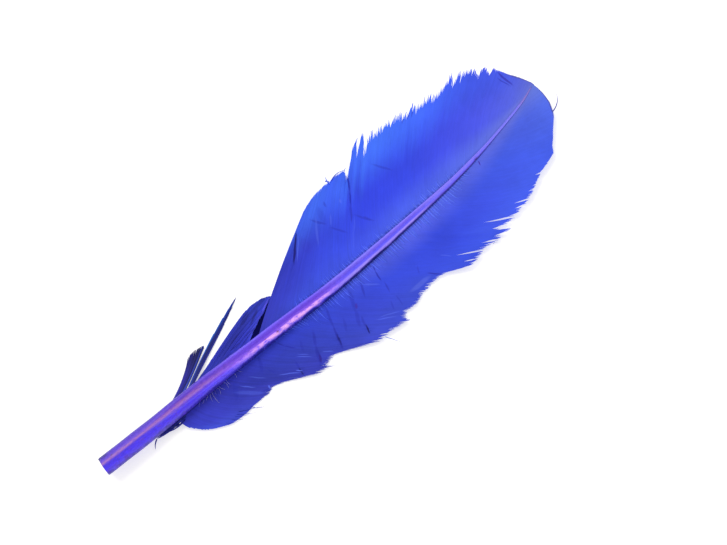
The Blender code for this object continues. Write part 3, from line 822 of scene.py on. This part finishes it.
left_draw = np.random.default_rng(SEED)
left_roots = np.arange(FIRST_LEFT_BARB, LAST_BARB, BARB_STEP)
left_lengths = np.interp(left_roots, LEFT_EDGE[:, 0], LEFT_EDGE[:, 1])
# How much the edge frays: hardly at its smooth base, most along the middle, and not round the tip.
left_fray = 0.10 + 0.90 * ease(left_roots, 151, 153) * (1 - 0.75 * ease(left_roots, 228, 236))
left_fray *= 1 - 0.95 * ease(left_roots, 244, 250)
left_lengths *= 1 + 0.016 * left_draw.standard_normal(len(left_roots)) * left_fray
plan, walked = grow(1, left_roots, left_lengths, LEFT_BARBS)
spaces = spacing(plan)
plan = fray(1, plan, walked, left_roots, left_lengths, left_draw, left_fray, 0.5)
plan = lean(1, plan, walked, left_roots, left_lengths, LEFT_LEANS)
tone = 0.12 * random_waves(left_roots, left_draw, 6, 30, 2.5)
tone += 0.12 * left_draw.standard_normal(len(left_roots))
tone *= 1.6 - 0.8 * ease(left_roots, 150, 185)
lift = 0.04 * random_waves(left_roots, left_draw, 4, 22, 5)[:, None] * ease(walked, 4, 30)
lift = lift - creases(plan, LEFT_CREASES)
past_split = left_roots - OLD_SPLIT
upper = np.exp(-np.clip(past_split, 0, None) / 6) * (past_split > 0)
lift = lift + upper[:, None] * ease(walked, 26, 58)
# Painted shade: the barbs just under the split's upper part are darkened, as it overhangs them.
shade_under_split = np.exp(-np.clip(-past_split, 0, None) / 0.8) * (past_split <= 0)
tone = tone[:, None] - 1.2 * shade_under_split[:, None] * ease(walked, 24, 44)
rows = barb_rows(plan, walked, left_roots, left_lengths, spaces, lift, tone, left_fray)
sweep("left_vane", [rows], BARB_SIZES, left_dye_and_light)


# The right vane: the same barbs on the shaft's other flank, bent the other way. It is narrower, soft
# folds cross it near the base, and fine splits open at its edge.
RIGHT_BARBS = np.array((
    (38, 11, 84, 58), (46, 22, 80, 44), (52, 25, 72, 35), (60, 28, 60, 32), (68, 32, 54, 31),
    (76, 41, 52, 31), (90, 43, 52, 33), (100, 50, 52, 34), (115, 52, 52, 35), (130, 46, 51, 36),
    (145, 43, 51, 36), (160, 52, 50, 33), (180, 57, 53, 32), (200, 52, 58, 31), (215, 49, 52, 28),
    (228, 47.5, 48, 26), (242, 41, 44, 24), (255, 34, 39, 20), (265, 27, 34, 15), (278, 16, 26, 8),
    (290, 4, 0, 0),
))
RIGHT_EDGE = np.array((
    (38.5, 0.8), (39.4, 1.8), (39.8, 7), (40.7, 11.4), (42, 15.2), (44.2, 18.7), (46.4, 21.9),
    (48.8, 23.7), (51.5, 25.2), (55.2, 25.2), (61.4, 27.3), (66, 25.2), (69, 29.2), (71.3, 39.4),
    (73, 44), (75.6, 43.2), (77.4, 41.4), (78.2, 46.4), (79, 41.6), (82, 39.6), (87, 37.6), (91, 36.8),
    (94, 41.8), (96.5, 46.8), (98.4, 53.6), (99.4, 50.2), (101.5, 51.4), (104, 51.6), (108, 50.4),
    (114.7, 50.3), (118, 49.9), (119.8, 49.4), (121.2, 51.4), (122.6, 48.6), (124.5, 46.2), (129.2, 42.9),
    (133.6, 44.9), (137.5, 43.6), (141, 42.6), (148.3, 42.2), (152.6, 43.2), (153.8, 44.6), (154.5, 48),
    (155, 52.6), (156, 55.4), (158.5, 56.2), (161, 55.9), (163.5, 55.2), (165.2, 54.4), (167.3, 53),
    (169.1, 52.6), (171.5, 52.6), (173.4, 53.6), (175.2, 53.8), (176.8, 55.4), (178.4, 54.8), (179.8, 54),
    (181, 52.4), (182.2, 53.6), (184, 56.6), (185.7, 54.4), (187.4, 48.8), (190, 46), (191.2, 48.6),
    (193.5, 49.2), (197.7, 48.7), (200, 49.5), (202.2, 48.8), (204.2, 49.8), (206.4, 50.3), (209, 49.6),
    (214.6, 48.4), (221.9, 46.3), (224.5, 46.7), (228.6, 47.4), (231.2, 47.8), (236, 44.3), (245.6, 39.3),
    (254, 35.6), (257.3, 33.5), (265.2, 27.2), (274, 18.5), (280.4, 12), (285.5, 6.8), (290, 2.6),
))
# Station, how far out the split starts and ends, how wide it opens, how far it pulls its neighbours.
RIGHT_SPLITS = (
    (206.9, 42.1, 49.6, 0.9, 2), (203.1, 45.3, 49.2, 1, 1.6), (197.3, 33, 48.8, 1.05, 3),
    (189, 43.2, 49.2, 1.2, 2), (181.1, 50.2, 55.7, 0.9, 1.4), (176.2, 47.5, 52.6, 1.1, 1.8),
    (168.3, 38.6, 51.5, 0.85, 2.8), (222.1, 43.2, 46.2, 0.8, 1.4), (160.5, 48.5, 52.5, 0.7, 1.4),
    (212.3, 45.6, 48.1, 0.5, 1), (145, 39.5, 42, 0.6, 1.2), (106, 46.5, 50, 0.5, 1.2),
)
RIGHT_CREASES = (
    (126.7, -17.7, 118.8, -34, 1.8, 0.4), (137.2, -32.4, 135, -37.5, 1.4, 0.3),
    (114.1, -18.2, 107, -33.5, 1.8, 0.4), (99.1, -26.1, 97.1, -29.7, 1.4, 0.3),
    (84, -12, 80, -24, 2.4, 0.3), (69, -12, 65, -24, 2.4, 0.3),
)
right_dye_and_light = dyed_and_shaded_barbs(
    "dyed barb keratin and painted light, right vane",
    ((0.14, "#2C2EAA"), (0.24, "#2E32B4"), (0.36, "#2C3CC8"), (0.46, "#3044CC"), (0.57, "#4A58D6"),
     (0.66, "#5460DC"), (0.74, "#4C5CDC"), (0.86, "#5664D6"), (1, LILAC)),
    ((0.14, "#3238BE"), (0.18, "#3036B8"), (0.235, "#242C9E"), (0.3, "#2834AA"), (0.38, "#2C3CBC"),
     (0.46, "#2E3EC6"), (0.54, "#2E44D4"), (0.64, "#2A40D2"), (0.73, "#344ADA"), (0.82, "#3A54DC"),
     (0.91, "#465EDC"), (0.98, "#5A6CCC")),
    ((0.14, "#3848CC"), (0.21, "#2E34AC"), (0.3, "#2C34AE"), (0.37, "#3442C0"), (0.5, "#3044C6"),
     (0.58, "#2E48D4"), (0.66, "#3852E0"), (0.82, "#3C58E2"), (0.92, "#4C66E0"), (0.99, "#5E70CA")),
    # Painted shade along folds and cracks, a few darker purple marks, and last, painted highlights:
    # lighter lines where raised barbs catch the light.
    (
        (72, -9.1, 66.4, -16.8, 1.6, 0.5, SHADE), (88.5, -7.6, 84.2, -15.4, 1.2, 0.6, SHADE),
        (116.4, -16.2, 112, -23.5, 1.1, 0.65, SHADE), (112.4, -22.8, 107.2, -32, 1.2, 0.8, SHADE),
        (110.5, -27.1, 108, -31.3, 0.8, 0.85, "#22148C"), (143.9, -13.4, 139, -22.8, 1.5, 0.5, SHADE),
        (139.7, -22, 134.4, -31.1, 1.3, 0.45, SHADE), (141.8, -20.5, 140, -23.1, 0.9, 0.6, "#3A1C96"),
        (129.5, -11.3, 125, -22.4, 0.9, 0.55, SHADE), (125.4, -21.4, 120.3, -34.1, 0.9, 0.9, SHADE),
        (131.8, -21.7, 128.1, -28.4, 0.9, 0.35, SHADE), (108.8, -15.4, 105.7, -20.9, 0.9, 0.4, SHADE),
        (99.5, -9.3, 101.1, -12.7, 0.5, 0.8, SHADE), (100.6, -12.1, 104.8, -17.2, 0.55, 0.9, SHADE),
        (87, -15, 89.2, -19.5, 0.55, 0.6, SHADE), (99.8, -21.5, 98.7, -26.3, 0.7, 0.7, SHADE),
        (98.7, -25.6, 97.6, -29.8, 0.55, 1, DEEP_SHADE), (77.3, -21.4, 81.3, -23.3, 0.55, 0.8, SHADE),
        (62.2, -7, 60.3, -11.1, 0.8, 0.7, SHADE), (162.5, -9.2, 160.3, -15.7, 0.5, 0.8, SHADE),
        (160.4, -15.2, 158.9, -20.8, 0.6, 0.85, SHADE), (159.6, -22.1, 158, -28.1, 0.6, 0.6, SHADE),
        (158.9, -31.4, 157.2, -37.6, 0.55, 0.4, SHADE), (177.6, -27.7, 175, -31.4, 0.55, 0.35, SHADE),
        (151.5, -13.3, 147.2, -21.3, 0.8, 0.6, SHADE), (165.8, -8.6, 165.8, -13.7, 0.6, 0.5, SHADE),
        (154.9, -31.2, 152.4, -36.5, 0.6, 0.35, SHADE), (178.1, -33.8, 182.8, -39.7, 0.6, 0.8, SHADE),
        (138.9, -27.2, 136.5, -33.5, 0.8, 0.55, SHADE), (137.5, -32, 135.1, -37.3, 0.6, 1, DEEP_SHADE),
        (189, -7.5, 187, -13, 0.6, 0.3, SHADE), (240.6, -8.9, 239.6, -11.6, 0.4, 1, "#3A22A0"),
        (123.9, -25.6, 121.4, -31.4, 0.5, 0.8, DEEP_SHADE), (101.8, -20.3, 107, -25.7, 0.28, 0.5, GLOW),
        (102.8, -19.7, 106.8, -24, 0.25, 0.4, GLOW), (77.9, -12, 84, -18.2, 0.3, 0.4, GLOW),
        (89.4, -21.3, 97.9, -28.2, 0.34, 0.6, GLOW), (96.8, -25.5, 98.9, -27.9, 0.4, 0.8, GLOW),
        (150.5, -15.1, 157.4, -21.5, 0.6, 0.35, GLOW), (144.9, -34.3, 154, -39, 0.45, 0.35, GLOW),
        (142.4, -34, 151.4, -40.3, 0.4, 0.35, GLOW), (68, -13, 78.6, -23.2, 1.3, 0.2, GLOW),
        (82.3, -21.6, 81.7, -23.5, 0.7, 0.7, GLOW), (112.3, -27.4, 116.7, -31.2, 0.4, 0.45, GLOW),
        (189.7, -31.5, 193.3, -36.3, 0.35, 0.35, GLOW), (72.1, -12.6, 77.3, -18.2, 0.4, 0.4, GLOW),
        (164.9, -35.2, 178, -36.1, 1.7, 0.35, "#5E70E0"),
    ),
)


def part_locks(side, plan, walked, roots, splits):
    """Pulls the barbs on either side of each split apart, from where it starts to the vane's edge."""
    sideways = towards_base(side, plan)
    for station, starts, ends, gap, reach in splits:
        apart = roots - station
        way = np.where(apart > 0, -0.5, 0.5) * gap * np.exp(-(apart / reach) ** 2)
        opening = np.clip((walked - starts) / (ends - starts), 0, 1.3)
        plan = plan + sideways * (way[:, None] * np.sin(opening * 1.9))[..., None]
    return plan


FIRST_RIGHT_BARB = 38.6
right_draw = np.random.default_rng(SEED + 1)
right_roots = np.arange(FIRST_RIGHT_BARB, LAST_BARB, BARB_STEP)
right_lengths = np.interp(right_roots, RIGHT_EDGE[:, 0], RIGHT_EDGE[:, 1])
# How much the edge frays: least at the base and round the tip.
right_fray = 0.12 + 0.30 * ease(right_roots, 56, 75) * (1 - ease(right_roots, 208, 222))
right_fray *= 1 - 0.9 * ease(right_roots, 222, 236)
right_lengths *= 1 + 0.02 * right_draw.standard_normal(len(right_roots)) * right_fray
plan, walked = grow(-1, right_roots, right_lengths, RIGHT_BARBS)
spaces = spacing(plan)
plan = fray(-1, plan, walked, right_roots, right_lengths, right_draw, right_fray, 0.3)
plan = part_locks(-1, plan, walked, right_roots, RIGHT_SPLITS)
tone = 0.12 * random_waves(right_roots, right_draw, 6, 30, 2.5)
tone += 0.12 * right_draw.standard_normal(len(right_roots))
tone *= 2.0 - 1.2 * ease(right_roots, 110, 160)
lift = 0.05 * random_waves(right_roots, right_draw, 4, 22, 5)[:, None] * ease(walked, 4, 26)
lift = lift - creases(plan, RIGHT_CREASES)
rows = barb_rows(plan, walked, right_roots, right_lengths, spaces, lift, tone, right_fray)
sweep("right_vane", [rows], BARB_SIZES, right_dye_and_light)


# The comb: on this side the barbs' roots stand out of the web as fine bare ridges, square to the
# shaft like a comb's teeth, with a groove beside each. Their pale colour is partly the bare
# keratin's own and partly painted highlight, and each groove is a dark strip of painted shade. They
# sink into the web after a while.
COMB_STEP, COMB_FIRST, COMB_LAST = 1.35, 100.0, 240.0
COMB_SIZES = {"Ridge Height": 0.9, "Web Thickness": 0.6, "Random Roll": radians(4), "Seed": SEED}
comb_dye_and_sheen = dyed_and_shaded_barbs(
    "bare barb keratin, comb, with painted highlight",
    ((0.33, "#5060E4"), (0.45, "#6478F6"), (0.75, "#7488FA")),
    ((0.33, "#4456DC"), (0.45, "#586EF4"), (0.75, "#6880F6")),
    ((0.33, "#3448D0"), (0.45, "#445AE6"), (0.75, "#546CEA")),
)
comb_draw = np.random.default_rng(SEED + 5)
comb_rows = []
# Which side, its barbs' habit, how long the teeth are, over what length they stand square to the
# shaft, and how dark the painted shade in the grooves is.
for side, habit, reach, straight, groove_shade in (
    (1, LEFT_BARBS, 6.5, 9.0, 1.1), (-1, RIGHT_BARBS, 9.5, 14.0, 1.7),
):
    teeth = np.arange(COMB_FIRST, COMB_LAST, COMB_STEP)
    teeth = np.sort(teeth + 0.3 * comb_draw.standard_normal(len(teeth)))
    reaches = reach * comb_draw.uniform(0.4, 1.0, len(teeth))
    reaches *= 0.35 + 0.65 * ease(teeth, COMB_FIRST, 125) * (1 - ease(teeth, 215, COMB_LAST))
    # First the ridges, then the grooves: where, how wide, how high, and how dark their painted shade is.
    for shift, width, rise, dark in ((0.0, 0.19, 0.12, 0.0), (0.62, 0.13, 0.05, groove_shade)):
        roots = teeth + shift
        plan, walked = grow(side, roots, reaches, habit, straight)
        tone = 0.4 * comb_draw.standard_normal(len(roots)) - dark
        lift = np.full(walked.shape, rise)
        spread = np.full(walked.shape, width)
        comb_rows.append(barb_rows(plan, walked, roots, reaches, spread, lift, tone, np.ones(len(roots))))
sweep("comb_ridges", comb_rows, COMB_SIZES, comb_dye_and_sheen)


# The locks at the base of the left vane stand apart, twisted a little, and darker in their own shade.
# Each is a close row of the same barbs, given by its outline: a barb's station, and its length there.
# Their webs are made for at least this half distance between barbs, so they always overlap.
LOCK_STEP, LOCK_SPACE = 0.3, 0.11
LEFT_LOCKS = (
    ((38.8, 28), (39.4, 29.4), (42.2, 30.4), (45.2, 30.6), (46.8, 29.6), (47.7, 27.6)),
    ((50.1, 34), (50.4, 43), (50.8, 50), (51.4, 54.8), (52.2, 52), (52.8, 44), (53.4, 32)),
    ((54.2, 9), (54.8, 11.5), (55.5, 14), (56, 20), (56.2, 37), (56.8, 43.6), (57.9, 47.8), (59.2, 49.6),
     (61, 50.8), (63, 51), (65, 50.2), (66.4, 49.2), (68.2, 43), (69.7, 39.3), (71.8, 35.2), (73.9, 31.2),
     (76.1, 27), (77.7, 23), (79.2, 19.2), (80.8, 15.4), (83.8, 9.8), (85.7, 5.2), (86.6, 3)),
)
lock_dye_and_shade = dyed_and_shaded_barbs(
    "dyed barb keratin and painted shade, base locks",
    # Painted shade: the near-black stops are the shade in the narrow gaps between strands.
    ((0.13, "#2E2A98"), (0.15, "#1C1E7C"), (0.16, "#2C3CB0"), (0.164, "#10145E"), (0.173, "#3450C4"),
     (0.178, "#10145E"), (0.2, "#1E28A0"), (0.3, "#262CAC")),
    ((0.133, "#2E2A9E"), (0.148, "#241F8C"), (0.152, "#0C1050"), (0.156, "#282A98"), (0.16, "#4662D0"),
     (0.164, "#0E1258"), (0.172, "#3C5CD2"), (0.1755, "#12175E"), (0.181, "#161C7C"), (0.188, "#1C2284"),
     (0.195, "#2830B4"), (0.225, "#1A2290"), (0.25, "#262EB6"), (0.3, "#242CAE")),
    ((0.133, "#1C1C74"), (0.148, "#161660"), (0.152, "#0C0E48"), (0.16, "#2434A0"), (0.164, "#0E124E"),
     (0.172, "#2E7CDC"), (0.175, "#1A44B4"), (0.179, "#12176C"), (0.188, "#1C2688"), (0.195, "#2C3ABC"),
     (0.215, "#202C9C"), (0.235, "#2A36BE"), (0.27, "#363ECA")),
    # The shade between the strands, and last, two lighter strands.
    (
        (100.7, 13.5, 92.9, 10, 1.7, 0.7, "#141C80"), (105.3, 11.6, 96.1, 6.9, 0.9, 0.65, "#10146E"),
        (97.3, 4.5, 90.3, 4, 0.45, 0.6, DEEP_SHADE), (86.8, 3.7, 80.4, 3.8, 0.55, 0.7, DEEP_SHADE),
        (80.7, 2.7, 74.1, 2.6, 0.5, 0.6, DEEP_SHADE), (89.1, 7.9, 82.5, 6.3, 0.45, 0.55, DEEP_SHADE),
        (112.4, 11.4, 104.6, 8, 0.55, 0.9, "#5450DE"), (105.2, 8.4, 99.4, 6.4, 0.5, 0.7, "#4644CE"),
    ),
)
locks_draw = np.random.default_rng(SEED + 2)
lock_rows = []
for lock in LEFT_LOCKS:
    edge = np.array(lock, float)
    roots = np.arange(edge[0, 0], edge[-1, 0], LOCK_STEP)
    lengths = np.interp(roots, edge[:, 0], edge[:, 1])
    plan, walked = grow(1, roots, lengths, LEFT_BARBS)
    spaces = np.maximum(LOCK_SPACE, spacing(plan))
    plan = fray(1, plan, walked, roots, lengths, locks_draw, np.full(len(roots), 0.3), 0.15)
    # Dark and light strands.
    tone = 0.7 * locks_draw.standard_normal(len(roots)) + 0.7 * random_waves(roots, locks_draw, 3, 6, 1.2)
    lift = 0.2 * random_waves(roots, locks_draw, 3, 9, 2)[:, None] * ease(walked, 3, 14)
    loose = np.full(len(roots), 0.2)
    lock_rows.append(barb_rows(plan, walked, roots, lengths, spaces, lift, tone, loose))
sweep("left_base_locks", lock_rows, BARB_SIZES, lock_dye_and_shade)


# The slit between the last lock and the vane: the barbs there stand on edge, deep in shade, and
# their near-black colour is painted shade.
slit_shade = dyed_and_shaded_barbs(
    "painted shade on the barbs in the slit",
    ((0.22, "#06075C"), (0.32, "#050650")), ((0.22, "#040544"), (0.32, "#03043C")),
    ((0.22, "#03043A"), (0.32, "#05064A")), gloss=0.02,
)
SLIT_STEP = 0.32
SLIT_BARBS = np.array((
    (64, 60, 26, 8), (72, 60, 26, 9), (78, 60, 26, 14), (86, 60, 27, 22), (94.4, 60, 34, 31),
))
SLIT_EDGE = np.array(((66, 46), (72, 41), (78, 35), (84, 35), (89, 36), (94.5, 33)))
slit_roots = np.arange(SLIT_EDGE[0, 0], SLIT_EDGE[-1, 0], SLIT_STEP)
slit_lengths = np.interp(slit_roots, SLIT_EDGE[:, 0], SLIT_EDGE[:, 1])
plan, walked = grow(1, slit_roots, slit_lengths, SLIT_BARBS)
rows = barb_rows(
    plan, walked, slit_roots, slit_lengths, spacing(plan), np.full(walked.shape, -0.3),
    np.zeros(len(slit_roots)), np.full(len(slit_roots), 0.5),
)
sweep("slit_barbs", [rows], BARB_SIZES, slit_shade)


# Loose barbs: single threads that have come away from the vanes' edges, and a few dark ones at the
# quill, where the vane begins, whose dark colour is partly painted shade under the quill's flank.
# The dye takes them to start this far from the shaft, clear of the painted shade along its flank.
CLEAR_OF_SHAFT = 5.0


def hairs(lines, draw, bend, rise):
    """Paths of single hairs: from where to where in plan, how thick, and which way they bow."""
    lines = np.array(lines, float)
    count = len(lines)
    along = np.linspace(0, 1, BARB_POINTS + 1)[None, :]
    starts, way = lines[:, 0:2], lines[:, 2:4] - lines[:, 0:2]
    square = np.stack([-way[:, 1], way[:, 0]], axis=-1)
    bows = lines[:, 5] + bend * draw.standard_normal(count)
    plan = starts[:, None, :] + way[:, None, :] * along[..., None]
    plan = plan + square[:, None, :] * (bows[:, None] * 4 * along * (1 - along))[..., None]
    walked = along * np.linalg.norm(way, axis=1)[:, None]
    lengths = walked[:, -1]
    lift = rise * np.sin(along * 2.2) * np.ones((count, 1))
    rows = barb_rows(
        plan, walked + CLEAR_OF_SHAFT, np.clip(starts[:, 0], 38, 289), lengths + CLEAR_OF_SHAFT,
        np.full(walked.shape, 0.1), lift, 0.3 * draw.standard_normal(count), np.ones(count),
    )
    thick = lines[:, 4:5] * (1 - 0.85 * along ** 2)
    thick[:, 0] = 0.0
    thick[:, -1] = 0.0
    rows["half_width"] = thick * MM
    rows["out"] = along * np.ones((count, 1))
    return rows


HAIR_SIZES = {"Ridge Height": 1.0, "Web Thickness": 1.4, "Random Roll": radians(20), "Seed": SEED}
stray_dye_and_shade = dyed_and_shaded_barbs(
    "dyed barb keratin, loose barbs",
    ((0.1, "#12125E"), (0.3, "#3444C0"), (0.6, "#3A50D8"), (1, "#4A4A9A")),
    ((0.1, "#14145E"), (0.2, "#3C44C4"), (0.35, "#5A6AD8"), (0.6, "#3058DC"), (1, "#5A5AA8")),
    ((0.1, "#2A2C88"), (0.2, "#4A50C8"), (0.35, "#8C98E0"), (0.6, "#3A68E8"), (1, "#8A86C0")),
)
strays_draw = np.random.default_rng(SEED + 3)
STRAYS = (
    (139, -43.6, 142.6, -52.6, 0.16, 0.05), (107, -30.9, 113.6, -38.6, 0.14, -0.05),
    (84.8, -23.2, 88, -27.2, 0.13, 0.05), (69, -23.6, 74.4, -28.8, 0.16, -0.1),
    (288, -16.4, 297.6, -10.2, 0.32, -0.16), (26.4, -5.6, 22.6, -9, 0.34, -0.1),
    (44.5, -5.3, 33, -5.2, 0.75, 0), (44, -6, 32.5, -5.8, 0.75, 0), (43.5, -6.7, 32, -6.3, 0.7, 0),
    (42.5, -7.3, 32.5, -6.8, 0.5, 0.01), (39.5, -5.3, 26.6, -5.2, 0.55, 0),
    (176, 34.4, 177.2, 38.9, 0.36, 0.08), (175.4, 37.2, 177.2, 34.8, 0.32, 0),
    (177.6, 35, 187.6, 34.6, 0.3, 0.13), (186.4, 34.4, 188.8, 35.4, 0.18, 0.1),
    (63, -21.4, 74.4, -28.6, 0.12, -0.04), (61.6, -21.9, 71.2, -29.3, 0.12, -0.05),
    (60, -22.2, 67.8, -28.1, 0.11, -0.04), (58, -22.2, 64.9, -27.7, 0.11, -0.06),
    (55, -21.4, 60, -25.4, 0.1, -0.05), (91, -25.2, 95.4, -29.4, 0.1, 0.04),
    (80, -23, 84, -26, 0.1, 0.06), (212, -46.4, 214.6, -47.6, 0.1, 0.1),
    (39.5, -5.9, 25.8, -5.5, 0.55, 0), (39.5, -6.5, 27, -5.9, 0.55, 0), (39, -7.1, 28.5, -6.3, 0.48, 0),
)
sweep("stray_barbs", [hairs(STRAYS, strays_draw, 0.03, 0.3)], HAIR_SIZES, stray_dye_and_shade)


# Down: a few soft, hardly dyed hairs at the foot of the right vane, beside the shaft.
down_dye = dyed_and_shaded_barbs(
    "pale down, lightly dyed",
    ((0.1, "#7C78C8"), (0.3, "#7C78C8")), ((0.1, "#A09CD8"), (0.3, "#9A96D4")),
    ((0.1, "#BCB8E2"), (0.3, "#B2AEDE")),
)
down_draw = np.random.default_rng(SEED + 4)
DOWN = (
    (67, -5.2, 67.3, -10.1, 0.1, 0.2), (60.3, -5.6, 59.2, -12.4, 0.11, -0.1),
    (57.8, -5.2, 55.4, -7, 0.09, 0.1), (59.3, -5.6, 57.4, -9.6, 0.1, -0.15),
    (73, -5.6, 73.3, -9, 0.1, 0.15), (55.4, -5.2, 53, -7.4, 0.09, 0.2),
    (63.2, -5.6, 62.4, -10, 0.1, 0.12), (64.6, -5.6, 65.8, -9.4, 0.09, -0.12),
    (61.6, -5.4, 60.9, -8.4, 0.09, 0.2), (70, -5.6, 69.2, -9.2, 0.09, -0.15),
    (52.6, -5.4, 50.6, -7.4, 0.08, 0.1), (76.4, -5.6, 77.6, -8.6, 0.08, -0.1),
)
sweep("down", [hairs(DOWN, down_draw, 0.08, 0.9)], HAIR_SIZES, down_dye)
